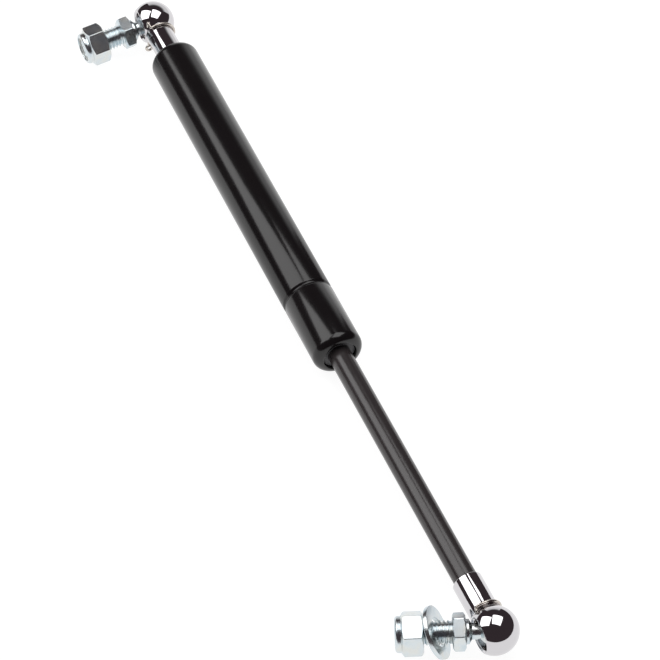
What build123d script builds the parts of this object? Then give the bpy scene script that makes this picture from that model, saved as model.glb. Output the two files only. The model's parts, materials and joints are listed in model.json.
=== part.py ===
from build123d import *
import math
import os

# Gas strut stay with a metal ball socket and an M8 ball stud at each end.
# All sizes are in millimetres. While it is built, the strut's axis is the X axis, the tube end's
# ball centre is the origin, the rod end's ball centre is at X = REACH and the studs point to -Y.
# At the end the whole strut is moved so that it lies on the XY plane, centred on the origin.

# --- driving dimensions ---------------------------------------------------------------------
REACH = 300.0            # ball centre to ball centre, fully extended
STROKE = 100.0           # how far the rod goes in
NECK_END = 20.5          # ball centre to the end of a socket's neck

TUBE_R = 9.0             # pressure tube, outside
TUBE_BORE_R = 8.0
TUBE_NOSE_X = 178.0      # rod end of the tube
ROLLED_EDGE_R = 3.2      # outside rounding of the tube's two closed-in ends
ROLLED_WALL = 1.2        # thickness of the closed-in ends
PLUG_HOLE_R = 5.6        # opening left round the end plug
NOSE_HOLE_R = 6.0        # opening left round the rod
CRIMP_X = 150.2          # roll-formed groove that holds the seal pack
CRIMP_WHEEL_R = 0.9      # profile radius of the rolled groove
CRIMP_BEAD_R = 0.65      # profile radius of the bead it raises inside
CRIMP_DEPTH = 0.55

PLUG_THICK = 6.0         # plug inside the tube's closed end
SEAL_AT = 4.0            # middle of the plug's seal groove, from the plug's outer face
SEAL_WIRE_R = 0.74
SEAL_GROOVE_WIDTH = 1.8
SEAL_GROOVE_DEPTH = 1.5
SLIDE_GAP = 0.05         # room between parts that slide or only touch
FIT_GAP = 0.02           # room left at parts that are pressed into the bore
BUSH_GAP = 8.4           # crimp to guide bush
SEAL_START = 3.4         # crimp to rod seal
SEAL_END = 8.3
SEAL_LIP_R = 1.1         # V of pressure space on the seal's inner side
INNER_CORNER = 2.3       # chamfer that clears the rolled ends' inside rounding

ROD_R = 4.0
ROD_TAIL_R = 3.0         # stepped-down inner end, riveted over the piston
THREAD_STUB_R = 2.98     # M6 ends that screw into the sockets
THREAD_STUB_LENGTH = 9.6
PISTON_FACE_X = 148.6    # front face of the piston pack when the strut is fully out
PISTON_R = 7.7
PISTON_LENGTH = 6.0
PISTON_WASHER_THICK = 1.0
VALVE_DISC_THICK = 0.8
RING_R = 7.95            # piston ring, running in the bore
RING_WIDTH = 1.8
RING_FLOOR_R = 6.3
RING_SPLIT = 0.8
PORT_R = 0.5             # four damping ports through the piston
PORT_CIRCLE_R = 4.7
VALVE_DISC_R = 6.4
PISTON_WASHER_R = 6.0
RIVET_HEAD_R = 4.0
RIVET_HEAD_HEIGHT = 1.4

HEAD_R = 8.0             # ball socket, outside
NECK_R = 5.0
MOUTH = 5.3              # ball centre to the flat mouth
CUP_R = 5.08             # seat round the ball
MOUTH_CHAMFER = 0.6
BALL_R = 5.0
STUD_NECK_R = 2.6
STUD_NECK_END = 7.1      # distances along a stud are from its ball centre
SHANK_START = 7.9
SHANK_R = 4.0
COLLAR_START = 8.9
COLLAR_END = 13.1
COLLAR_FLATS = 11.0
THREAD_R = 4.0           # M8 over the crests
THREAD_CORE_R = 3.6      # M8 at the pitch diameter, where a nut or washer sits on the thread
STUD_END = 28.0

SNAP_WIRE_R = 0.45       # ring inside the mouth that keeps the ball in
SNAP_RING_R = 5.2
SNAP_RING_DEPTH = 2.6
SNAP_GAP_DEG = 36.0
CLIP_WIRE_R = 0.5        # safety clip
CLIP_RING_X = 7.4        # where its ring sits on the neck
CLIP_RING_R = 5.55
CLIP_PIN_X = 5.25        # the cross pin, behind the ball
CLIP_PIN_Y = -3.9
CLIP_PIN_TOP = 6.0
CLIP_START_DEG = 35.0    # angles round the neck, from the top towards the mouth side
CLIP_END_DEG = 137.0
CLIP_EYE_R = 1.1

NUT_FLATS = 13.0
NUT_HEIGHT = 9.0
NUT_HEX_HEIGHT = 6.9
NUT_CRIMP_R = 5.85
NUT_BORE_R = 3.64
INSERT_R = 5.0
INSERT_THICK = 1.8
NUT_LIP_HOLE_R = 4.5
NUT_LIP = 0.5            # thickness of the crimp over the insert
WASHER_R = 8.75
WASHER_HOLE_R = 4.8
WASHER_THICK = 1.6

# How each stud stands in its socket at rest, in degrees: yaw turns it towards -X, droop lowers
# its threaded end, and the spins turn the hexes of the collar and the nut about the stud.
TUBE_END = {"yaw": -3.0, "droop": 3.85, "collar_spin": 52.0, "nut_spin": 16.0, "nut": 19.7, "crests_to": 19.2}
ROD_END = {"yaw": 21.7, "droop": 2.25, "collar_spin": 38.0, "nut_spin": 43.0, "nut": 22.2, "crests_to": 15.2}
WASHER_AT = 18.15        # middle of the loose washer, along the rod end's stud
WASHER_LEAN = 25.0       # how far its top leans out towards the nut

SMALL = 0.3              # broken edges


def along_x(shape):
    """Turn something built round Z so that its axis is X."""
    return Rot(0, 90, 0) * shape


def rod_x(radius, start, end):
    """A plain cylinder on the X axis between two places."""
    bar = Cylinder(radius, end - start, align=(Align.CENTER, Align.CENTER, Align.MIN))
    return Pos(start, 0, 0) * along_x(bar)


def ring_x(outer, inner, start, end, outer_edge=SMALL):
    """A sleeve on the X axis with its outside edges broken."""
    body = rod_x(outer, start, end)
    body = chamfer(body.edges().filter_by(GeomType.CIRCLE), outer_edge)
    return body - rod_x(inner, start - 1, end + 1)


def torus_x(middle, wire, x):
    """A round-section ring about the X axis."""
    return Pos(x, 0, 0) * along_x(Torus(middle, wire))


# --- the cylinder ---------------------------------------------------------------------------
def pressure_tube():
    """Drawn steel tube with both ends rolled in and a crimp groove that locks the seal pack."""
    outside = rod_x(TUBE_R, NECK_END, TUBE_NOSE_X)
    outside = fillet(outside.edges().filter_by(GeomType.CIRCLE), ROLLED_EDGE_R)
    inside = rod_x(TUBE_BORE_R, NECK_END + ROLLED_WALL, TUBE_NOSE_X - ROLLED_WALL)
    inside = fillet(inside.edges().filter_by(GeomType.CIRCLE), ROLLED_EDGE_R - TUBE_R + TUBE_BORE_R)
    tube = outside - inside
    tube += torus_x(TUBE_BORE_R + CRIMP_BEAD_R - CRIMP_DEPTH, CRIMP_BEAD_R, CRIMP_X)
    tube -= torus_x(TUBE_R + CRIMP_WHEEL_R - CRIMP_DEPTH, CRIMP_WHEEL_R, CRIMP_X)
    tube -= rod_x(PLUG_HOLE_R, NECK_END - 1, NECK_END + 5)
    return tube - rod_x(NOSE_HOLE_R, TUBE_NOSE_X - 5, TUBE_NOSE_X + 1)


PLUG_FACE = NECK_END + ROLLED_WALL + SLIDE_GAP
PLUG_INNER = PLUG_FACE + PLUG_THICK
SEAL_GROOVE = PLUG_FACE + SEAL_AT


def end_plug():
    """Turned plug behind the rolled end: its boss fills the opening, its M6 stud carries the socket."""
    disc = rod_x(TUBE_BORE_R - FIT_GAP, PLUG_FACE, PLUG_INNER)
    disc = chamfer(disc.edges().filter_by(GeomType.CIRCLE), INNER_CORNER)
    half = 0.5 * SEAL_GROOVE_WIDTH
    groove = rod_x(TUBE_R, SEAL_GROOVE - half, SEAL_GROOVE + half)
    disc -= groove - rod_x(TUBE_BORE_R - SEAL_GROOVE_DEPTH, 0, REACH)
    boss = rod_x(PLUG_HOLE_R - 0.1, NECK_END, PLUG_FACE + 1)
    stub = rod_x(THREAD_STUB_R, NECK_END - THREAD_STUB_LENGTH, NECK_END + 1)
    stub = chamfer(stub.faces().sort_by(Axis.X)[0].edges(), 0.6)
    return disc + boss + stub


def end_plug_seal():
    """O-ring in the plug's groove, touching the bore."""
    return torus_x(TUBE_BORE_R - FIT_GAP - SEAL_WIRE_R, SEAL_WIRE_R, SEAL_GROOVE)


def guide_bush():
    """Bush that guides the rod between the nose and the seal."""
    start, end = CRIMP_X + BUSH_GAP, TUBE_NOSE_X - ROLLED_WALL - 2 * SLIDE_GAP
    bush = rod_x(TUBE_BORE_R - FIT_GAP, start, end)
    bush = chamfer(bush.faces().sort_by(Axis.X)[-1].edges(), INNER_CORNER)
    bush -= rod_x(ROD_R + SLIDE_GAP, start - 1, end + 1)
    relief = rod_x(TUBE_R, start + 3.5, end - 4.5) - rod_x(TUBE_BORE_R - 0.8, start, end)
    return bush - relief


def rod_seal():
    """Rubber lip seal that hugs the rod and the bore, with a V of pressure space on its inner side."""
    start, end = CRIMP_X + SEAL_START, CRIMP_X + SEAL_END
    seal = ring_x(TUBE_BORE_R - FIT_GAP, ROD_R + FIT_GAP, start, end)
    return seal - torus_x(0.5 * (TUBE_BORE_R + ROD_R), SEAL_LIP_R, start)


def seal_washer():
    """Flat steel washer between the crimp bead and the seal."""
    start = CRIMP_X + CRIMP_BEAD_R + SLIDE_GAP
    return ring_x(TUBE_BORE_R - SLIDE_GAP, ROD_R + 0.4, start, CRIMP_X + SEAL_START - 2 * SLIDE_GAP)


# --- the rod and its piston -----------------------------------------------------------------
PISTON_START = PISTON_FACE_X - VALVE_DISC_THICK - PISTON_LENGTH
RIVET_X = PISTON_START - PISTON_WASHER_THICK
RING_MIDDLE = PISTON_START + 0.5 * PISTON_LENGTH


def piston_rod():
    """Ground rod: a riveted tail through the piston and an M6 end in the rod end's socket."""
    rod = rod_x(ROD_R, PISTON_FACE_X, REACH - NECK_END)
    rod += rod_x(ROD_TAIL_R, RIVET_X - 0.5 * RIVET_HEAD_HEIGHT, PISTON_FACE_X + 1)
    head = rod_x(RIVET_HEAD_R, RIVET_X - RIVET_HEAD_HEIGHT, RIVET_X)
    rod += fillet(head.faces().sort_by(Axis.X)[0].edges(), 0.8)
    stub = rod_x(THREAD_STUB_R, REACH - NECK_END - 1, REACH - NECK_END + THREAD_STUB_LENGTH)
    return rod + chamfer(stub.faces().sort_by(Axis.X)[-1].edges(), 0.6)


def piston():
    """Piston with a ring groove and the four small ports that damp the stroke."""
    body = ring_x(PISTON_R, ROD_TAIL_R, PISTON_START, PISTON_START + PISTON_LENGTH)
    half = 0.5 * RING_WIDTH + 0.06
    body -= rod_x(TUBE_R, RING_MIDDLE - half, RING_MIDDLE + half) - rod_x(RING_FLOOR_R - 0.1, 0, REACH)
    for turn in range(4):
        body -= Rot(90 * turn, 0, 0) * Pos(0, 0, PORT_CIRCLE_R) * rod_x(PORT_R, PISTON_START - 1, PISTON_FACE_X)
    return body


def piston_ring():
    """Split ring that seals the piston in the bore and slides with it."""
    half = 0.5 * RING_WIDTH
    ring = ring_x(RING_R, RING_FLOOR_R, RING_MIDDLE - half, RING_MIDDLE + half, 0.15)
    return ring - Pos(RING_MIDDLE, 0, RING_R) * Box(RING_WIDTH * 2, RING_SPLIT, 2 * (RING_R - RING_FLOOR_R) + 1)


def valve_disc():
    """Thin spring disc in front of the piston, which throttles the ports one way."""
    start = PISTON_START + PISTON_LENGTH
    return ring_x(VALVE_DISC_R, ROD_TAIL_R, start, PISTON_FACE_X, 0.1)


def piston_washer():
    """Washer under the riveted end of the rod."""
    return ring_x(PISTON_WASHER_R, ROD_TAIL_R, RIVET_X, PISTON_START, 0.2)


# --- the ball joints ------------------------------------------------------------------------
def socket():
    """Ball socket: a round head open towards -Y and a neck towards +X, tapped M6."""
    head = Sphere(HEAD_R)
    neck = rod_x(NECK_R, 0, NECK_END)
    neck = chamfer(neck.faces().sort_by(Axis.X)[-1].edges(), 0.5)
    body = head + neck
    body -= Pos(0, -MOUTH - 10, 0) * Box(40, 20, 40)
    to_mouth = Rot(90, 0, 0)
    body -= to_mouth * Cylinder(CUP_R, MOUTH + 1, align=(Align.CENTER, Align.CENTER, Align.MIN))
    body -= Sphere(CUP_R)
    body -= to_mouth * Pos(0, 0, MOUTH - MOUTH_CHAMFER) * Cone(
        CUP_R, CUP_R + 2 * MOUTH_CHAMFER, 2 * MOUTH_CHAMFER, align=(Align.CENTER, Align.CENTER, Align.MIN))
    groove = SNAP_WIRE_R + SLIDE_GAP
    body -= to_mouth * Pos(0, 0, SNAP_RING_DEPTH) * Cylinder(SNAP_RING_R + groove + FIT_GAP, 2 * groove)
    body -= Pos(CLIP_PIN_X, CLIP_PIN_Y, 0) * Cylinder(CLIP_WIRE_R + SLIDE_GAP, 4 * HEAD_R)
    body -= rod_x(ROD_TAIL_R, NECK_END - THREAD_STUB_LENGTH - 0.4, NECK_END + 1)
    return body


def snap_ring():
    """Open wire ring in the groove inside the mouth."""
    ring = Torus(SNAP_RING_R, SNAP_WIRE_R, major_angle=360 - SNAP_GAP_DEG, align=None)
    return Rot(90, 0, 0) * Pos(0, 0, SNAP_RING_DEPTH) * Rot(0, 0, 0.5 * SNAP_GAP_DEG) * ring


def wire_between(start, end, radius):
    """A straight, round-ended piece of wire."""
    line = Vector(*end) - Vector(*start)
    bar = Cylinder(radius, line.length, align=(Align.CENTER, Align.CENTER, Align.MIN))
    return Plane(origin=start, z_dir=line) * bar + Pos(*start) * Sphere(radius) + Pos(*end) * Sphere(radius)


def neck_point(degrees, radius):
    """A point round the neck, in the clip ring's plane."""
    turn = math.radians(degrees)
    return (CLIP_RING_X, -radius * math.sin(turn), radius * math.cos(turn))


def safety_clip():
    """Spring wire: a pin through the head behind the ball, a bend, a ring round the neck and an eye."""
    corner = (CLIP_PIN_X, CLIP_PIN_Y, CLIP_PIN_TOP)
    pin = wire_between((CLIP_PIN_X, CLIP_PIN_Y, -5.0), corner, CLIP_WIRE_R)
    leg = wire_between(corner, neck_point(CLIP_START_DEG, CLIP_RING_R), CLIP_WIRE_R)
    sweep = 360 - CLIP_END_DEG + CLIP_START_DEG
    arc = along_x(Torus(CLIP_RING_R, CLIP_WIRE_R, major_angle=sweep, align=None))
    ring = Pos(CLIP_RING_X, 0, 0) * Rot(180 + CLIP_END_DEG, 0, 0) * arc
    eye_middle = neck_point(CLIP_END_DEG, CLIP_RING_R + CLIP_EYE_R)
    eye = Pos(*eye_middle) * along_x(Torus(CLIP_EYE_R, CLIP_WIRE_R - 0.02))
    return pin + leg + ring + eye


def hexagon_bar(flats, height):
    """A hexagon standing on Z = 0, with both ends' corners turned off at 30 degrees."""
    corner = 0.5 * flats / math.cos(math.radians(30))
    bar = extrude(RegularPolygon(corner, 6), height)
    slope = math.tan(math.radians(30))
    reach = 0.47 * flats
    limit = reach + height / slope
    bar &= Cone(limit, reach, height, align=(Align.CENTER, Align.CENTER, Align.MIN))
    return bar & Cone(reach, limit, height, align=(Align.CENTER, Align.CENTER, Align.MIN))


def bar_z(radius, start, end):
    """A plain cylinder on the Z axis between two heights."""
    return Pos(0, 0, start) * Cylinder(radius, end - start, align=(Align.CENTER, Align.CENTER, Align.MIN))


def ball_stud(end):
    """One-piece stud along +Z: ball, waisted neck, shank, hexagon collar and the M8 thread."""
    stud = Sphere(BALL_R) + bar_z(STUD_NECK_R, 0, STUD_NECK_END + 0.1)
    stud += Pos(0, 0, STUD_NECK_END) * Cone(
        STUD_NECK_R, SHANK_R, SHANK_START - STUD_NECK_END, align=(Align.CENTER, Align.CENTER, Align.MIN))
    stud += bar_z(SHANK_R, SHANK_START, COLLAR_START + 0.1)
    collar = hexagon_bar(COLLAR_FLATS, COLLAR_END - COLLAR_START)
    stud += Pos(0, 0, COLLAR_START) * Rot(0, 0, end["collar_spin"]) * collar
    stud += bar_z(THREAD_R, COLLAR_END - 0.1, end["crests_to"])
    core = bar_z(THREAD_CORE_R, end["crests_to"] - 0.1, STUD_END)
    return stud + chamfer(core.faces().sort_by(Axis.Z)[-1].edges(), 0.7)


def nut(end):
    """Nylon-insert lock nut, bearing face at its place on the stud, rounded crimp outwards."""
    body = Rot(0, 0, end["nut_spin"]) * hexagon_bar(NUT_FLATS, NUT_HEX_HEIGHT)
    crimp = bar_z(NUT_CRIMP_R, NUT_HEX_HEIGHT - NUT_LIP, NUT_HEIGHT)
    body += fillet(crimp.faces().sort_by(Axis.Z)[-1].edges(), 1.1)
    body -= bar_z(NUT_BORE_R, -1, NUT_HEIGHT)
    body -= bar_z(INSERT_R, NUT_HEIGHT - NUT_LIP - INSERT_THICK, NUT_HEIGHT - NUT_LIP)
    body -= bar_z(NUT_LIP_HOLE_R, NUT_HEIGHT - 1, NUT_HEIGHT + 1)
    body -= Pos(0, 0, -0.01) * Cone(
        NUT_BORE_R + 0.8, NUT_BORE_R, 0.8, align=(Align.CENTER, Align.CENTER, Align.MIN))
    return Pos(0, 0, end["nut"]) * body


def nut_insert(end):
    """Nylon ring under the nut's crimp."""
    ring = bar_z(INSERT_R, 0, INSERT_THICK) - bar_z(NUT_BORE_R, -1, INSERT_THICK + 1)
    return Pos(0, 0, end["nut"] + NUT_HEIGHT - NUT_LIP - INSERT_THICK) * ring


def washer():
    """Loose flat washer, leaning in the gap between collar and nut."""
    disc = bar_z(WASHER_R, -0.5 * WASHER_THICK, 0.5 * WASHER_THICK)
    disc = fillet(disc.edges().filter_by(GeomType.CIRCLE), SMALL)
    return disc - bar_z(WASHER_HOLE_R, -WASHER_THICK, WASHER_THICK)


def stud_plane(end, ball_x):
    """Frame of a stud: origin at the ball centre, Z out along the stud, Y towards the top."""
    yaw, droop = math.radians(end["yaw"]), math.radians(end["droop"])
    out = Vector(-math.sin(yaw) * math.cos(droop), -math.cos(yaw) * math.cos(droop), -math.sin(droop))
    sideways = Vector(0, 0, 1).cross(out).normalized()
    return Plane(origin=(ball_x, 0, 0), x_dir=sideways, z_dir=out)


# --- put together ---------------------------------------------------------------------------
def build():
    """Every piece in its place, by name."""
    at_rod_end = Pos(REACH, 0, 0)
    tube_stud = stud_plane(TUBE_END, 0)
    rod_stud = stud_plane(ROD_END, REACH)
    return {
        "pressure_tube": pressure_tube(),
        "end_plug": end_plug(),
        "end_plug_seal": end_plug_seal(),
        "guide_bush": guide_bush(),
        "rod_seal": rod_seal(),
        "seal_washer": seal_washer(),
        "piston_rod": piston_rod(),
        "piston": piston(),
        "piston_ring": piston_ring(),
        "valve_disc": valve_disc(),
        "piston_washer": piston_washer(),
        "tube_end_socket": socket(),
        "tube_end_snap_ring": snap_ring(),
        "tube_end_safety_clip": safety_clip(),
        "tube_end_ball_stud": tube_stud * ball_stud(TUBE_END),
        "tube_end_nut": tube_stud * nut(TUBE_END),
        "tube_end_nut_insert": tube_stud * nut_insert(TUBE_END),
        "rod_end_socket": at_rod_end * mirror(socket(), about=Plane.YZ),
        "rod_end_snap_ring": at_rod_end * mirror(snap_ring(), about=Plane.YZ),
        "rod_end_safety_clip": at_rod_end * mirror(safety_clip(), about=Plane.YZ),
        "rod_end_ball_stud": rod_stud * ball_stud(ROD_END),
        "rod_end_nut": rod_stud * nut(ROD_END),
        "rod_end_nut_insert": rod_stud * nut_insert(ROD_END),
        "rod_end_washer": rod_stud * Pos(0, 0, WASHER_AT) * Rot(WASHER_LEAN, 0, 0) * washer(),
    }


pieces = build()
box = Compound([solid for piece in pieces.values() for solid in piece.solids()]).bounding_box()
middle = box.center()
place = Pos(-middle.X, -middle.Y, -box.min.Z)
print("moved by", -middle.X, -middle.Y, -box.min.Z)

os.makedirs("parts", exist_ok=True)
for name, piece in pieces.items():
    placed = place * piece
    solids = placed.solids()
    export_step(solids[0] if len(solids) == 1 else Compound(solids), f"parts/{name}.step")
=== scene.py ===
import json
import math

import bmesh
import bpy
import numpy as np
from mathutils import Matrix, Vector


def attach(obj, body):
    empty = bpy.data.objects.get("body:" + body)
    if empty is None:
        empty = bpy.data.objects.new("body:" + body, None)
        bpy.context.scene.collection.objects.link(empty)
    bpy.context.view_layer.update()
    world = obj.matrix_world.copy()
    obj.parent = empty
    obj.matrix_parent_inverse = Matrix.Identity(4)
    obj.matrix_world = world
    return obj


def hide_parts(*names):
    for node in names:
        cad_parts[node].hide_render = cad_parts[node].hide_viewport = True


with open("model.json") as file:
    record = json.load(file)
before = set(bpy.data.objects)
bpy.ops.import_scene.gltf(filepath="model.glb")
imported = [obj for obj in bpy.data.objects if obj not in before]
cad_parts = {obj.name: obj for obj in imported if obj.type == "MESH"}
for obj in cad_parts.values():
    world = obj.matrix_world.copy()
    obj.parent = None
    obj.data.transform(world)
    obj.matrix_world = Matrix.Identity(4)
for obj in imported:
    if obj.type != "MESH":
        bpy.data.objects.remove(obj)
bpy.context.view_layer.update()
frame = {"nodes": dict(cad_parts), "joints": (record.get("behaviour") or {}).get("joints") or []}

# --- Pressure tube ---------------------------------------------------------------------------
# Drawn steel tube with both ends rolled in by spinning and one roll-formed crimp that locks the
# seals. It is stoved in gloss black paint with a slight orange peel. The strut lies along X, and
# the ball centres come from the frame's joints, so that every piece is placed on the frame.
MM = 0.001
STRUT = Vector((1, 0, 0))
UP = Vector((0, 0, 1))
AROUND = 128
joint = {j["name"]: j for j in frame["joints"]}
ball = {end: Vector(joint[end + "_swivel"]["pos_m"]) for end in ("tube_end", "rod_end")}


def spun_ring(rows, steps=AROUND):
    """A plain band for solid(): rows of (distance, radius) along the axis, the same all round."""
    distance = np.array([[d] * steps for d, r in rows], float)
    radius = np.array([[r] * steps for d, r in rows], float)
    return distance, radius, 0


def rounded(corners, steps=6):
    """An outline whose corners (distance, radius, rounding) are replaced by arcs of that rounding."""
    line = []
    for i, (a, b, rounding) in enumerate(corners):
        here = Vector((a, b))
        if rounding == 0 or i in (0, len(corners) - 1):
            line.append((a, b))
            continue
        back = (Vector(corners[i - 1][:2]) - here).normalized()
        ahead = (Vector(corners[i + 1][:2]) - here).normalized()
        half = 0.5 * back.angle(ahead)
        centre = here + (back + ahead).normalized() * rounding / math.sin(half)
        start = here + back * rounding / math.tan(half) - centre
        turn = math.pi - 2 * half
        if start.x * back.y - start.y * back.x > 0:
            turn = -turn
        for k in range(steps + 1):
            c, s = math.cos(turn * k / steps), math.sin(turn * k / steps)
            line.append((centre.x + start.x * c - start.y * s, centre.y + start.x * s + start.y * c))
    return line


def arc(centre, radius, start, end, steps):
    """Points (distance, radius) on an arc, with its angles in degrees from the axis."""
    turns = [math.radians(start + (end - start) * k / steps) for k in range(steps + 1)]
    return [(centre[0] + radius * math.cos(t), centre[1] + radius * math.sin(t)) for t in turns]


def settle(name, mesh, sharp):
    """Merge touching points, face outwards, shade smooth up to the sharp angle and link the piece."""
    work = bmesh.new()
    work.from_mesh(mesh)
    bmesh.ops.remove_doubles(work, verts=work.verts, dist=0.0006 * MM)
    bmesh.ops.dissolve_degenerate(work, dist=0.0004 * MM, edges=work.edges)
    bmesh.ops.recalc_face_normals(work, faces=work.faces)
    work.to_mesh(mesh)
    work.free()
    mesh.shade_smooth()
    mesh.set_sharp_from_angle(angle=math.radians(sharp))
    piece = bpy.data.objects.new(name, mesh)
    bpy.context.scene.collection.objects.link(piece)
    return piece


def solid(name, bands, centre, way, turns=None, spin=0.0, sharp=32.0):
    """A turned piece about the line through centre along way. Its bands meet edge to edge, and a
    band's slip is how many rows higher it joins itself after one turn, as a thread does."""
    aside = UP.cross(way).normalized() if abs(way.z) < 0.9 else STRUT
    other = way.cross(aside)
    points, faces = [], []
    for distance, radius, slip in bands:
        base, (rows, steps) = len(points), distance.shape
        angles = (np.arange(steps) * 2 * math.pi / steps if turns is None else turns) + spin
        flat = np.outer(np.cos(angles), aside) + np.outer(np.sin(angles), other)
        place = radius[..., None] * flat[None] + distance[..., None] * np.array(way)[None, None]
        points += [tuple(np.array(centre) + p * MM) for p in place.reshape(-1, 3)]
        for row in range(rows - 1):
            for i in range(steps):
                k, jump = (i + 1, 0) if i + 1 < steps else (0, slip)
                if row + 1 + jump < rows:
                    low, high = base + row * steps, base + (row + jump) * steps
                    faces.append((low + i, high + k, high + steps + k, low + steps + i))
    mesh = bpy.data.meshes.new(name)
    mesh.from_pydata(points, [], faces)
    return settle(name, mesh, sharp)


class Value:
    """One output of a material's node, so that shader maths reads as maths."""

    def __init__(self, finish, socket):
        self.finish, self.socket = finish, socket

    def _maths(self, operation, a, b):
        return self.finish.node("ShaderNodeMath", {"operation": operation}, {0: a, 1: b})

    def __add__(self, other):
        return self._maths("ADD", self, other)

    def __mul__(self, other):
        return self._maths("MULTIPLY", self, other)

    __radd__, __rmul__ = __add__, __mul__


class Finish:
    """A node material round one Principled shader. Plain values go straight on its sockets."""

    def __init__(self, name, **plain):
        self.material = bpy.data.materials.new(name)
        self.material.use_nodes = True
        self.nodes, self.links = self.material.node_tree.nodes, self.material.node_tree.links
        self.shader = self.nodes["Principled BSDF"]
        for socket, value in plain.items():
            self.shader.inputs[socket.replace("_", " ")].default_value = value

    def node(self, kind, settings, values, out=0):
        """Make a node, set it, give its inputs values or links and return one of its outputs."""
        made = self.nodes.new(kind)
        for key, value in settings.items():
            if key == "stops":
                while len(made.color_ramp.elements) < len(value):
                    made.color_ramp.elements.new(0.5)
                for stop, (where, colour) in zip(made.color_ramp.elements, value):
                    stop.position, stop.color = where, (*colour, 1)
            else:
                setattr(made, key, value)
        for key, value in values.items():
            if isinstance(value, Value):
                self.links.new(value.socket, made.inputs[key])
            else:
                made.inputs[key].default_value = value
        return Value(self, made.outputs[out])

    def place(self, stretch=(1, 1, 1)):
        """The piece's own coordinates in millimetres, stretched."""
        here = self.node("ShaderNodeTexCoord", {}, {}, "Object")
        scale = tuple(s / MM for s in stretch)
        return self.node("ShaderNodeVectorMath", {"operation": "MULTIPLY"}, {0: here, 1: scale})

    def grain(self, size, detail, stretch=(1, 1, 1)):
        """Noise from 0 to 1 whose lumps are about size millimetres across."""
        where = self.place(stretch)
        return self.node("ShaderNodeTexNoise", {}, {"Vector": where, "Scale": 1 / size, "Detail": detail})

    def between(self, amount, low, high):
        """A colour or a number that goes from low to high as amount goes from 0 to 1."""
        kind, first = ("RGBA", 6) if isinstance(low, tuple) else ("FLOAT", 2)
        ends = [(*v, 1) if kind == "RGBA" else v for v in (low, high)]
        return self.node("ShaderNodeMix", {"data_type": kind, "clamp_factor": True},
                         {0: amount, first: ends[0], first + 1: ends[1]}, 2 if kind == "RGBA" else 0)

    def above(self, value, start, end):
        """0 below start, 1 above end and smooth between."""
        return self.node("ShaderNodeMapRange", {"interpolation_type": "SMOOTHSTEP"},
                         {"Value": value, "From Min": start, "From Max": end})

    def feed(self, **sources):
        """Link values to the shader's sockets."""
        for socket, value in sources.items():
            self.links.new(value.socket, self.shader.inputs[socket.replace("_", " ")])
        return self

    def bumps(self, height, depth):
        """Raise the surface by height times depth millimetres."""
        bump = self.node("ShaderNodeBump", {}, {"Height": height, "Distance": depth * MM, "Strength": 1.0})
        return self.feed(Normal=bump)

    def on(self, piece):
        """Give the piece this finish."""
        piece.data.materials.clear()
        piece.data.materials.append(self.material)
        return self


TUBE_R = 9.0
TUBE_BORE_R = 8.0
TUBE_START = 20.5
TUBE_NOSE = 178.0
ROLL_R = 3.2
WALL = 1.2
PLUG_HOLE_R = 5.6
ROD_HOLE_R = 6.0
LIP_R = 0.2
INNER_ROLL_R = 2.0
REAR_SPAN_END = 100.0
FRONT_SPAN_START = 160.0
CRIMP_AT = 150.2
CRIMP_DEPTH = 0.55
CRIMP_REACH = 1.1475
CRIMP_STEPS = 14


def crimp_rows(base, side):
    """The rolled groove: a smooth dip in the wall, read towards the nose (side 1) or back (-1)."""
    rows = []
    for k in range(CRIMP_STEPS + 1):
        t = side * (2 * k / CRIMP_STEPS - 1)
        dip = (0.5 + 0.5 * math.cos(math.pi * t)) ** 0.8
        rows.append((CRIMP_AT + CRIMP_REACH * t, base - CRIMP_DEPTH * dip))
    return rows


back_edge = arc((TUBE_START + ROLL_R, TUBE_R - ROLL_R), ROLL_R, 168, 90, 14)
nose_edge = arc((TUBE_NOSE - ROLL_R, TUBE_R - ROLL_R), ROLL_R, 90, 12, 14)
outside = rounded([(TUBE_START + WALL, PLUG_HOLE_R, 0), (TUBE_START + 0.03, PLUG_HOLE_R, LIP_R),
                   (*back_edge[0], 0)], 4)
outside += back_edge + [(REAR_SPAN_END, TUBE_R)]
nose = nose_edge + rounded([(*nose_edge[-1], 0), (TUBE_NOSE - 0.03, ROD_HOLE_R, LIP_R),
                            (TUBE_NOSE - WALL, ROD_HOLE_R, 0)], 4)
inside = rounded([(TUBE_NOSE - WALL, ROD_HOLE_R, 0), (TUBE_NOSE - WALL, TUBE_BORE_R, INNER_ROLL_R),
                  (FRONT_SPAN_START, TUBE_BORE_R, 0)])
back = rounded([(REAR_SPAN_END, TUBE_BORE_R, 0), (TUBE_START + WALL, TUBE_BORE_R, INNER_ROLL_R),
                (TUBE_START + WALL, PLUG_HOLE_R, 0)])
tube_rows = outside + crimp_rows(TUBE_R, 1) + nose + inside + crimp_rows(TUBE_BORE_R, -1) + back
tube = solid("tube_painted_shell", [spun_ring(tube_rows, 160)], ball["tube_end"], STRUT, sharp=40)
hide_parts("pressure_tube")
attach(tube, "cylinder")

paint = Finish("gloss_black_paint", IOR=1.5)
cloud = paint.grain(30, 2)
fleck = paint.above(paint.grain(0.5, 2), 0.66, 0.74)
paint.feed(Base_Color=paint.between(cloud, (0.0055, 0.0045, 0.005), (0.0095, 0.008, 0.0085)))
paint.feed(Roughness=0.15 + 0.04 * paint.grain(6, 4) + 0.1 * fleck)
paint.bumps(paint.grain(1.6, 2), 0.006).on(tube)


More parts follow.
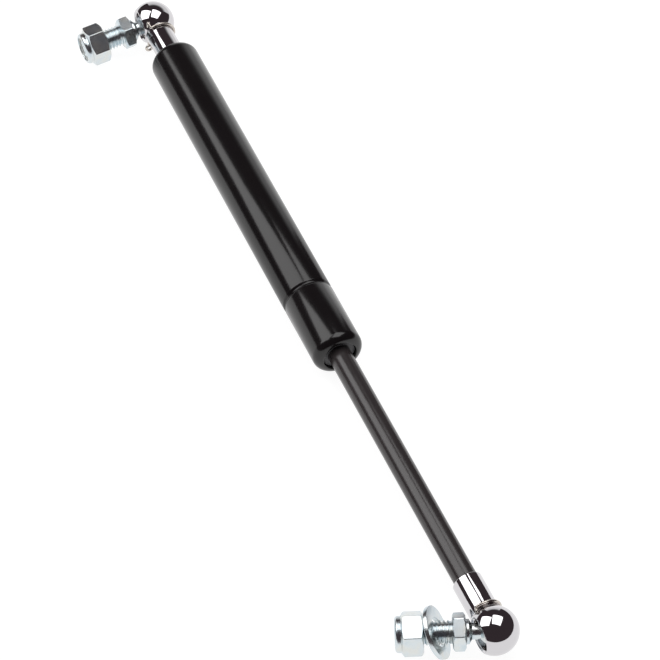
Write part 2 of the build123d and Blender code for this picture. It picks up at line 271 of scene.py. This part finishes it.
# --- Piston rod ------------------------------------------------------------------------------
# Steel rod, centreless ground and then salt-bath nitrided, which leaves it a satin grey-black
# with very fine rings. It screws into the rod end's socket with an M6 end and carries the piston.
ROD_R = 4.0
ROD_START = 148.6
ROD_TAIL = 139.4
RIVET_FACE = 140.8
RIVET_R = 4.0
ROD_MIDDLE = ROD_START + 60
SOCKET_FACE = 279.5
ROD_TIP = SOCKET_FACE + 9.6
ROD_TIP_R = 2.2
TAIL_R = 3.0
M6_CREST_R = 2.97
M6_DEPTH = 0.61
M6_PITCH = 1.0


def thread_band(start, end, crest, depth, pitch, tip, spin=0.0, turns=None, inward=False):
    """A helical ridge for solid(), from start to end, with a 1 mm run-out at its start. tip is the
    radius of the chamfered end, or of both mouths when the thread is inside a hole."""
    shape = [(0.0, 0.10), (0.035, 0.0), (0.09, 0.0), (0.125, 0.10),
             (0.41, 0.92), (0.48, 1.0), (0.56, 1.0), (0.66, 0.92)]
    angles = np.arange(AROUND) * 2 * math.pi / AROUND if turns is None else turns
    lift = pitch * (angles + spin) / (2 * math.pi)
    first, last = math.floor((start - lift.max()) / pitch) - 1, math.ceil((end - lift.min()) / pitch) + 1
    rows, heights = [], []
    for turn in range(first, last + 1):
        for share, low in shape:
            rows.append((turn + share) * pitch + lift)
            heights.append(np.full(len(angles), low))
    raw, low = np.array(rows), np.array(heights)
    distance = np.clip(raw, start, end)
    radius = crest - depth * low
    if inward:
        mouth = np.minimum(distance - start, end - distance)
        return distance, np.maximum(radius, tip - mouth), len(shape)
    grow = np.clip(distance - start, 0, 1)
    root = crest - 0.6 * depth
    radius = root + (radius - root) * grow * grow * (3 - 2 * grow)
    return distance, np.minimum(radius, tip + (end - distance)), len(shape)


rod_rows = rounded([(ROD_TAIL, 0, 0), (ROD_TAIL, RIVET_R, 0.7), (RIVET_FACE, RIVET_R, 0.1),
                    (RIVET_FACE, TAIL_R, 0), (ROD_START, TAIL_R, 0), (ROD_START, ROD_R, 0.3),
                    (ROD_MIDDLE, ROD_R, 0), (SOCKET_FACE, ROD_R, 0.25),
                    (SOCKET_FACE, M6_CREST_R - 0.6 * M6_DEPTH, 0)])
rod_bands = [
    spun_ring(rod_rows),
    thread_band(SOCKET_FACE, ROD_TIP, M6_CREST_R, M6_DEPTH, M6_PITCH, ROD_TIP_R),
    spun_ring([(ROD_TIP, ROD_TIP_R), (ROD_TIP, 0)]),
]
rod = solid("rod_ground_and_nitrided", rod_bands, ball["tube_end"], STRUT)
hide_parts("piston_rod")
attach(rod, "rod")

nitride = Finish("nitrided_rod", IOR=1.55)
rings = nitride.grain(0.18, 2, (1, 0.02, 0.02))
patch = nitride.grain(9, 4)
nitride.feed(Base_Color=nitride.between(patch, (0.030, 0.025, 0.025), (0.042, 0.036, 0.037)))
nitride.feed(Roughness=0.17 + 0.06 * patch + 0.04 * rings)
nitride.bumps(rings, 0.0012).on(rod)


# --- Ball sockets ----------------------------------------------------------------------------
# Turned steel sockets, one on each end: a ball-shaped head open to the studs' side, a round
# neck tapped M6, a groove for the snap ring and a cross hole for the clip. Bright chrome plate.
MOUTH_WAY = Vector((0, -1, 0))
HEAD_R = 8.0
NECK_R = 5.0
NECK_END = 20.5
MOUTH = 5.3
CUP_R = 5.08
RIM_INSIDE_R = 5.68
RIM_OUTSIDE_R = 5.86
RIM_BEVEL = 0.17
RIM_BEVEL_R = 6.25
SNAP_DEPTH = 2.6
SNAP_HALF = 0.52
SNAP_FLOOR_R = 5.72
NECK_FILLET = 0.7
NECK_MIDDLE = 12.0
THREAD_HOLE_R = 3.0
PIN_AT = (5.25, 3.9)
PIN_HOLE_R = 0.55
TAP_BOTTOM = NECK_END - 10.0
TAP_CONE = 1.2
TOOL_REACH = 20
TOOL_R = 14
DRILL_REACH = 12


def cut(piece, tool):
    """Take tool out of piece and throw the tool away."""
    step = piece.modifiers.new("cut", "BOOLEAN")
    step.operation, step.solver, step.object = "DIFFERENCE", "EXACT", tool
    shaped = bpy.data.meshes.new_from_object(piece.evaluated_get(bpy.context.evaluated_depsgraph_get()))
    name = piece.name
    bpy.data.objects.remove(piece)
    bpy.data.objects.remove(tool)
    return settle(name, shaped, 35)


def socket(end, side):
    """One socket. side is the way along the strut that its neck points."""
    neck_way = STRUT * side
    meet = math.degrees(math.acos((NECK_R + NECK_FILLET) / (HEAD_R + NECK_FILLET)))
    bend_at = (HEAD_R + NECK_FILLET) * math.sin(math.radians(meet))
    rows = [(TAP_BOTTOM, 0), (TAP_BOTTOM + TAP_CONE, THREAD_HOLE_R)]
    rows += rounded([(NECK_END - 0.4, THREAD_HOLE_R, 0), (NECK_END, THREAD_HOLE_R + 0.4, 0),
                     (NECK_END, NECK_R - 0.45, 0.2), (NECK_END - 0.45, NECK_R, 0.2),
                     (NECK_MIDDLE, NECK_R, 0)])
    rows += arc((bend_at, NECK_R + NECK_FILLET), NECK_FILLET, -90, -90 - meet, 6)
    rows += arc((0, 0), HEAD_R, 90 - meet, 180, 84)[1:]
    body = solid(end + "_socket_chromed", [spun_ring(rows, 144)], ball[end], neck_way)
    tool_rows = [(TOOL_REACH, 0), (TOOL_REACH, TOOL_R), (MOUTH - RIM_BEVEL, TOOL_R),
                 (MOUTH - RIM_BEVEL, RIM_BEVEL_R), (MOUTH, RIM_OUTSIDE_R)]
    tool_rows += rounded([(MOUTH, RIM_OUTSIDE_R, 0), (MOUTH, RIM_INSIDE_R, 0.12), (MOUTH - 0.6, CUP_R, 0.1),
                          (SNAP_DEPTH + SNAP_HALF, CUP_R, 0)], 4)
    tool_rows += [(SNAP_DEPTH + SNAP_HALF, SNAP_FLOOR_R), (SNAP_DEPTH - SNAP_HALF, SNAP_FLOOR_R),
                  (SNAP_DEPTH - SNAP_HALF, CUP_R)]
    tool_rows += arc((0, 0), CUP_R, 90, 180, 40)
    body = cut(body, solid("tool", [spun_ring(tool_rows, 144)], ball[end], MOUTH_WAY))
    pin_centre = ball[end] + (neck_way * PIN_AT[0] + MOUTH_WAY * PIN_AT[1]) * MM
    drill_rows = [(-DRILL_REACH, 0), (-DRILL_REACH, PIN_HOLE_R), (DRILL_REACH, PIN_HOLE_R), (DRILL_REACH, 0)]
    body = cut(body, solid("tool", [spun_ring(drill_rows, 32)], pin_centre, UP))
    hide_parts(end + "_socket")
    return body


chrome = Finish("bright_chrome", Metallic=1.0, Roughness=0.04)
pit = chrome.above(chrome.grain(1.1, 3), 0.62, 0.8)
chrome.feed(Base_Color=chrome.between(chrome.grain(12, 2), (0.60, 0.585, 0.60), (0.655, 0.645, 0.665)))
chrome.feed(Roughness=0.03 + 0.02 * chrome.grain(4, 3) + 0.06 * pit)
chrome.bumps(chrome.grain(2.4, 2), 0.004)
for end, side, body in (("tube_end", 1, "cylinder"), ("rod_end", -1, "rod")):
    head = socket(end, side)
    chrome.on(head)
    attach(head, body)


# --- Safety clips ----------------------------------------------------------------------------
# Each is one piece of 1 mm spring steel wire with a faint brassy tint: a pin through the head, an
# elbow over the top, a ring sprung round the neck and a small eye to pull it by. The pin passes
# beside the ball, on the neck's side.
WIRE_R = 0.5
RING_X = 7.4
RING_R = 5.55
RING_FROM = 35.0
RING_TO = 137.0
RING_STEPS = 60
PIN_TOP = 6.0
PIN_END = -5.0
BEND_REACH = 0.75
EYE_R = 1.1


def wire(name, path, radius, sides=20):
    """A round wire along a path, with domed ends, as one closed skin."""
    path = [Vector(p) for p in path]
    last = len(path) - 1
    tangents = [(path[min(i + 1, last)] - path[max(i - 1, 0)]).normalized() for i in range(last + 1)]
    aside = tangents[0].orthogonal().normalized()
    rows = []
    for here, tangent in zip(path, tangents):
        aside = (aside - tangent * aside.dot(tangent)).normalized()
        rows.append((here, tangent, aside.copy(), radius))

    def dome(row, sign, shares):
        here, tangent, aside, size = row
        outward = tangent * sign * size
        return [(here + outward * math.sqrt(1 - d * d), tangent, aside, size * d) for d in shares]

    shares = [0.0, 0.38, 0.7, 0.92]
    points, faces = [], []
    for here, tangent, aside, size in dome(rows[0], -1, shares) + rows + dome(rows[-1], 1, shares[::-1]):
        other = tangent.cross(aside)
        for k in range(sides):
            turn = 2 * math.pi * k / sides
            points.append(here + (aside * math.cos(turn) + other * math.sin(turn)) * size)
    for row in range(len(points) // sides - 1):
        for k in range(sides):
            low, following = row * sides, (k + 1) % sides
            faces.append((low + k, low + following, low + sides + following, low + sides + k))
    mesh = bpy.data.meshes.new(name)
    mesh.from_pydata([tuple(p) for p in points], [], faces)
    return settle(name, mesh, 60)


def softened(corners, reach, steps=8):
    """A path through corners whose bends are eased over reach on each side."""
    line = [corners[0]]
    for before, here, after in zip(corners, corners[1:], corners[2:]):
        into = here + (before - here).normalized() * reach
        out = here + (after - here).normalized() * reach
        for k in range(steps + 1):
            t = k / steps
            line.append(into * (1 - t) ** 2 + here * 2 * t * (1 - t) + out * t * t)
    return line + [corners[-1]]


spring = Finish("brassy_spring_wire", Metallic=1.0, Roughness=0.25)
draw = spring.grain(0.4, 3, (0.3, 1, 1))
spring.feed(Base_Color=spring.between(spring.grain(4, 2), (0.52, 0.47, 0.42), (0.66, 0.62, 0.58)))
spring.feed(Roughness=0.12 + 0.1 * draw)
spring.bumps(draw, 0.0015)
for end, side, body in (("tube_end", 1, "cylinder"), ("rod_end", -1, "rod")):
    def clip_point(x, out, up):
        return ball[end] + (STRUT * side * x + MOUTH_WAY * out + UP * up) * MM

    def round_neck(degrees, radius):
        turn = math.radians(degrees)
        return clip_point(RING_X, radius * math.sin(turn), radius * math.cos(turn))

    pin_foot = clip_point(PIN_AT[0], PIN_AT[1], PIN_END)
    elbow = clip_point(PIN_AT[0], PIN_AT[1], PIN_TOP)
    sweep = 360 - RING_TO + RING_FROM
    path = softened([pin_foot, elbow, round_neck(RING_FROM, RING_R), round_neck(RING_FROM - 14, RING_R)],
                    BEND_REACH * MM)[:-1]
    path += [round_neck(RING_FROM - 9 - (sweep - 9) * k / RING_STEPS, RING_R) for k in range(RING_STEPS + 1)]
    eye_middle = round_neck(RING_TO, RING_R + EYE_R)
    spoke = round_neck(RING_TO, RING_R) - eye_middle
    path += [eye_middle + Matrix.Rotation(math.radians(a), 4, STRUT) @ spoke for a in range(12, 331, 12)]
    clip = wire(end + "_clip_wire", path, WIRE_R * MM)
    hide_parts(end + "_safety_clip")
    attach(clip, body)
    spring.on(clip)


# --- Ball studs ------------------------------------------------------------------------------
# Each is cold-headed and rolled from one piece of steel: a 10 mm ball, a waisted neck, a shank, an
# 11 mm hexagon collar and an M8 thread with a chamfered tip. Zinc plated with a blue passivation.
stud_way = {end: Vector(joint[end + "_nut_travel"]["axis"]).normalized() for end in ball}
BALL_R = 5.0
STUD_NECK_R = 2.6
STUD_NECK_END = 7.1
SHANK_R = 4.0
SHANK_START = 7.9
COLLAR_START = 8.9
COLLAR_END = 13.1
COLLAR_FLATS = 11.0
CREST_R = 3.97
M8_DEPTH = 0.65
M8_PITCH = 1.25
THREAD_START = COLLAR_END + 0.35
STUD_END = 28.0
STUD_TIP_R = 3.1
COLLAR_SPIN = {"tube_end": 52.0, "rod_end": 38.0}
SLOPE = math.tan(math.radians(30))
TURNED_SHARE = 0.47
IN_A_SIXTH = [0, 0.7, 1.4, 4, 8, 12, 16, 20, 25, 30, 35, 40, 44, 48, 52, 56, 58.6, 59.3]
HEX_TURNS = np.radians([60 * side + part for side in range(6) for part in IN_A_SIXTH])
HEX_ROUNDING = 0.3


def hexagon(flats):
    """The distance to a hexagon's side at each of HEX_TURNS, its corners rounded."""
    off = np.mod(HEX_TURNS + math.pi / 6, math.pi / 3) - math.pi / 6
    across = 0.5 * flats / np.cos(math.pi / 6 - np.abs(off))
    middle = (0.5 * flats - HEX_ROUNDING) / math.cos(math.pi / 6)
    corner = middle * np.cos(off) + np.sqrt(np.maximum(HEX_ROUNDING ** 2 - (middle * np.sin(off)) ** 2, 0))
    tangent = math.atan2(HEX_ROUNDING * 0.5, 0.5 * flats / math.cos(math.pi / 6))
    return np.where(np.abs(off) < tangent * 1.05, np.minimum(across, corner), across)


def hex_band(flats, low, high):
    """A hexagon's sides, with its corners turned off at 30 degrees at both ends."""
    side = hexagon(flats)
    turned = np.full(len(side), TURNED_SHARE * flats)
    cut_off = (side - turned) * SLOPE
    level = np.zeros(len(side))
    middle = level + 0.5 * (low + high)
    distance = np.array([level + low, low + cut_off, middle, high - cut_off, level + high])
    return distance, np.array([turned, side, side, side, turned]), 0


def hex_ring(rows):
    """A round band whose points line up with a hexagon's."""
    return spun_ring(rows, len(HEX_TURNS))


def ball_stud(end):
    """One stud, from the back of its ball to the thread's tip."""
    spin = math.radians(COLLAR_SPIN[end])
    neck_from = math.sqrt(BALL_R ** 2 - STUD_NECK_R ** 2)
    head = arc((0, 0), BALL_R, 180, math.degrees(math.atan2(STUD_NECK_R, neck_from)), 40)
    turned = TURNED_SHARE * COLLAR_FLATS
    neck = rounded([(neck_from, STUD_NECK_R, 0), (STUD_NECK_END, STUD_NECK_R, 0.5),
                    (SHANK_START, SHANK_R, 0.25), (COLLAR_START - 0.25, SHANK_R, 0),
                    (COLLAR_START, SHANK_R + 0.25, 0), (COLLAR_START, turned, 0)])
    relief = rounded([(COLLAR_END, turned, 0), (COLLAR_END, CREST_R - 0.1, 0.2),
                      (THREAD_START, CREST_R - 0.6 * M8_DEPTH, 0)])
    bands = [
        hex_ring(head + neck),
        hex_band(COLLAR_FLATS, COLLAR_START, COLLAR_END),
        hex_ring(relief),
        thread_band(THREAD_START, STUD_END, CREST_R, M8_DEPTH, M8_PITCH, STUD_TIP_R, spin, HEX_TURNS),
        hex_ring(rounded([(STUD_END, STUD_TIP_R, 0), (STUD_END, 1.4, 0.4), (STUD_END - 0.3, 0, 0)])),
    ]
    return solid(end + "_stud_plated", bands, ball[end], stud_way[end], HEX_TURNS, spin)


zinc = Finish("blue_zinc_plate", Metallic=1.0, Roughness=0.22)
tint = zinc.grain(5, 4)
blues = [(0.3, (0.56, 0.65, 0.70)), (0.5, (0.66, 0.71, 0.73)), (0.66, (0.70, 0.715, 0.69)),
         (0.8, (0.60, 0.66, 0.72))]
zinc.feed(Base_Color=zinc.node("ShaderNodeValToRGB", {"stops": blues}, {"Fac": tint}))
zinc.feed(Roughness=0.16 + 0.12 * zinc.grain(1.2, 4) + 0.05 * tint)
zinc.bumps(zinc.grain(0.6, 4), 0.004)
for end in ball:
    stud = ball_stud(end)
    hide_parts(end + "_ball_stud")
    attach(stud, end + "_stud")
    zinc.on(stud)


# --- Lock nuts -------------------------------------------------------------------------------
# M8 lock nuts, 13 mm across flats: a hexagon turned at both ends, and outwards a thin rim over a
# nylon ring. Zinc plated after tapping; then the milky nylon goes in and the rim is rolled over it.
NUT_FLATS = 13.0
NUT_HEX = 6.9
NUT_HIGH = 9.0
RIM_R = 5.85
NUT_AT = {"tube_end": 19.7, "rod_end": 22.2}
NUT_SPIN = {"tube_end": 16.0, "rod_end": 43.0}
LIP_HOLE_R = 4.5
THREAD_ENTRY_R = 4.35
INSERT_R = 5.0
INSERT_FROM = NUT_HIGH - 2.3
INSERT_TO = NUT_HIGH - 0.5
INSERT_MIDDLE_R = 4.6
INSERT_BORE = {"tube_end": 4.02, "rod_end": 3.7}

nylon = Finish("milky_nylon", Roughness=0.42, IOR=1.53)
nylon.feed(Base_Color=nylon.between(nylon.grain(2, 3), (0.56, 0.58, 0.56), (0.70, 0.71, 0.68)))
nylon.feed(Roughness=0.36 + 0.14 * nylon.grain(0.8, 3))
nylon.bumps(nylon.grain(0.5, 3), 0.01)
for end in ball:
    at, spin = NUT_AT[end], math.radians(NUT_SPIN[end])
    turned = TURNED_SHARE * NUT_FLATS
    rim = rounded([(at + NUT_HEX, turned, 0), (at + NUT_HEX, RIM_R, 0.3), (at + NUT_HIGH, RIM_R, 1.15),
                   (at + NUT_HIGH, LIP_HOLE_R, 0.25), (at + INSERT_TO, LIP_HOLE_R, 0),
                   (at + INSERT_TO, INSERT_R, 0), (at + INSERT_FROM, INSERT_R, 0),
                   (at + INSERT_FROM, THREAD_ENTRY_R, 0)], 8)
    bands = [
        hex_ring([(at, THREAD_ENTRY_R), (at, 0.5 * (THREAD_ENTRY_R + turned)), (at, turned)]),
        hex_band(NUT_FLATS, at, at + NUT_HEX),
        hex_ring(rim),
        thread_band(at, at + INSERT_FROM, CREST_R + 0.05, M8_DEPTH, M8_PITCH, THREAD_ENTRY_R, spin, HEX_TURNS,
                    inward=True),
    ]
    nut = solid(end + "_nut_plated", bands, ball[end], stud_way[end], HEX_TURNS, spin)
    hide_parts(end + "_nut")
    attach(nut, end + "_lock_nut")
    zinc.on(nut)
    bore = INSERT_BORE[end]
    ring_rows = rounded([(at + INSERT_FROM, INSERT_MIDDLE_R, 0), (at + INSERT_FROM, INSERT_R, 0.2),
                         (at + INSERT_TO, INSERT_R, 0.2), (at + INSERT_TO, bore, 0.3),
                         (at + INSERT_FROM, bore, 0.3), (at + INSERT_FROM, INSERT_MIDDLE_R, 0)])
    insert = solid(end + "_nylon_ring", [spun_ring(ring_rows, 96)], ball[end], stud_way[end], spin=spin)
    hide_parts(end + "_nut_insert")
    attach(insert, end + "_lock_nut")
    nylon.on(insert)


# --- Loose washer ----------------------------------------------------------------------------
# A plain zinc-plated washer, stamped from strip: rounded over where the punch went in and left
# with a sharper edge behind. It leans loose on the rod end's stud.
WASHER_R = 8.75
WASHER_HOLE_R = 4.8
WASHER_HALF = 0.8
WASHER_MIDDLE_R = 6.5
LEAN = math.radians(25)
lean = joint["washer_tilt"]
washer_way = Matrix.Rotation(LEAN, 4, Vector(lean["axis"])) @ stud_way["rod_end"]
washer_rows = rounded([(-WASHER_HALF, WASHER_MIDDLE_R, 0), (-WASHER_HALF, WASHER_R, 0.12),
                       (WASHER_HALF, WASHER_R, 0.5), (WASHER_HALF, WASHER_HOLE_R, 0.3),
                       (-WASHER_HALF, WASHER_HOLE_R, 0.1), (-WASHER_HALF, WASHER_MIDDLE_R, 0)])
washer = solid("washer_stamped", [spun_ring(washer_rows)], Vector(lean["pos_m"]), washer_way)
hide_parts("rod_end_washer")
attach(washer, "loose_washer")
zinc.on(washer)


# --- Inner pieces ----------------------------------------------------------------------------
# Sealed inside the tube or the sockets: turned steel plug, piston and washers, black rubber seals,
# a filled-plastic guide bush and piston ring, and the valve disc and two open snap rings of spring
# steel. They keep their machined shapes and only get a finish.
steel = Finish("turned_steel", Metallic=1.0, Roughness=0.3)
tool_marks = steel.grain(0.25, 2, (1, 0.03, 0.03))
steel.feed(Base_Color=steel.between(steel.grain(4, 3), (0.38, 0.37, 0.36), (0.50, 0.50, 0.49)))
steel.feed(Roughness=0.24 + 0.16 * tool_marks)
steel.bumps(tool_marks, 0.006)
rubber = Finish("oiled_rubber", Roughness=0.5, IOR=1.5)
rubber.feed(Base_Color=rubber.between(rubber.grain(3, 3), (0.012, 0.012, 0.012), (0.028, 0.028, 0.028)))
rubber.feed(Roughness=0.38 + 0.25 * rubber.grain(1, 4))
rubber.bumps(rubber.grain(0.4, 4), 0.008)
bush = Finish("filled_plastic", Roughness=0.5, IOR=1.5)
bush.feed(Base_Color=bush.between(bush.grain(0.6, 4), (0.05, 0.05, 0.055), (0.12, 0.12, 0.125)))
bush.feed(Roughness=0.4 + 0.2 * bush.grain(0.8, 3))
bush.bumps(bush.grain(0.3, 4), 0.006)
inner = {steel: ["end_plug", "seal_washer", "piston", "piston_washer"],
         rubber: ["end_plug_seal", "rod_seal"],
         bush: ["guide_bush", "piston_ring"],
         spring: ["valve_disc", "tube_end_snap_ring", "rod_end_snap_ring"]}
for finish, names in inner.items():
    for name in names:
        finish.on(frame["nodes"][name])


# --- Table top -------------------------------------------------------------------------------
# A broad matt white table with an even glow of its own, like a lit product table, far wider than
# the strut. Its top is at height 0, where the strut lies.
TABLE_HALF = 4.0
table_mesh = bpy.data.meshes.new("table_top")
table_corners = [(-TABLE_HALF, -TABLE_HALF, 0), (TABLE_HALF, -TABLE_HALF, 0), (TABLE_HALF, TABLE_HALF, 0),
                 (-TABLE_HALF, TABLE_HALF, 0)]
table_mesh.from_pydata(table_corners, [], [(0, 1, 2, 3)])
table = bpy.data.objects.new("table_top", table_mesh)
bpy.context.scene.collection.objects.link(table)
white = Finish("white_table", Roughness=0.8, Emission_Color=(1, 1, 1, 1), Emission_Strength=0.93)
white.feed(Base_Color=white.between(white.grain(40, 3), (0.14, 0.14, 0.14), (0.16, 0.16, 0.16)))
white.on(table)


# --- Lights and reflector card ---------------------------------------------------------------
# A dark room with two large softboxes overhead. A low white card curves round behind the tube's
# end and fades towards its top edge; it only shows in reflections, so that it hides nothing.
SOFTBOX_RADIANCE = 2.5
CARD_HIGH = 0.22
FADE_FROM = 90
FADE_TO = 215
room = bpy.data.worlds.new("dark_room")
room.use_nodes = True
room.node_tree.nodes["Background"].inputs["Color"].default_value = (0.045, 0.034, 0.038, 1)
bpy.context.scene.world = room


def softbox(name, place, aim, size, turn=0.0):
    """A rectangular light of an even brightness, facing a point and turned about that line."""
    light = bpy.data.lights.new(name, "AREA")
    light.shape, (light.size, light.size_y) = "RECTANGLE", size
    light.energy = SOFTBOX_RADIANCE * math.pi * size[0] * size[1]
    lamp = bpy.data.objects.new(name, light)
    bpy.context.scene.collection.objects.link(lamp)
    facing = (Vector(aim) - Vector(place)).to_track_quat("-Z", "Y").to_matrix().to_4x4()
    lamp.matrix_world = Matrix.Translation(place) @ facing @ Matrix.Rotation(math.radians(turn), 4, "Z")


softbox("softbox_over", (-0.03, 0.30, 1.10), (0.15, 0, 0), (0.82, 0.98), 25)
softbox("softbox_left", (-0.448, -0.588, 0.929), (0.036, -0.095, 0.206), (0.98, 1.0))
card_line = [Vector((x, y, 0)) for x, y in
             ((-0.43, 0.05), (-0.42, 0.14), (-0.37, 0.24), (-0.30, 0.29), (-0.22, 0.31))]
card_mesh = bpy.data.meshes.new("reflector_card")
card_mesh.from_pydata([tuple(p + UP * high) for p in card_line for high in (0.001, CARD_HIGH)], [],
                      [(2 * i, 2 * i + 2, 2 * i + 3, 2 * i + 1) for i in range(len(card_line) - 1)])
card = bpy.data.objects.new("reflector_card", card_mesh)
bpy.context.scene.collection.objects.link(card)
card.visible_camera = False
fade = Finish("card_fading_upwards", Roughness=0.9, Emission_Strength=0.8)
high = fade.node("ShaderNodeSeparateXYZ", {}, {"Vector": fade.place()}, "Z")
dim = fade.above(high, FADE_FROM, FADE_TO)
fade.feed(Emission_Color=fade.between(dim, (1.0, 1.0, 1.0), (0.03, 0.03, 0.03)))
fade.feed(Base_Color=fade.between(fade.grain(40, 3), (0.03, 0.03, 0.03), (0.04, 0.04, 0.04)))
fade.on(card)


# --- Camera ----------------------------------------------------------------------------------
# A long lens about 1 m away, looking down on the strut from beyond the rod's end, on the studs'
# side. It looks at a point just off the strut's middle.
AZIMUTH = math.radians(66.93)
ELEVATION = math.radians(49.18)
AWAY = 1.0011
FIELD_OF_VIEW = math.radians(12.91)
AIM_RIGHT = 0.00745
AIM_UP = -0.01062
right = Vector((math.cos(AZIMUTH), math.sin(AZIMUTH), 0))
towards = Vector((math.sin(AZIMUTH) * math.cos(ELEVATION), -math.cos(AZIMUTH) * math.cos(ELEVATION),
                  math.sin(ELEVATION)))
upward = towards.cross(right)
strut_middle = (ball["tube_end"] + ball["rod_end"]) * 0.5
look_at = strut_middle + right * AIM_RIGHT + upward * AIM_UP
camera = bpy.data.objects.new("camera", bpy.data.cameras.new("camera"))
bpy.context.scene.collection.objects.link(camera)
camera.matrix_world = Matrix((right, upward, towards)).transposed().to_4x4()
camera.location = look_at + towards * AWAY
camera.data.angle = FIELD_OF_VIEW
camera.data.clip_end = 20
bpy.context.scene.camera = camera
bpy.context.scene.view_settings.view_transform = "Standard"
bpy.context.scene.view_settings.look = "None"
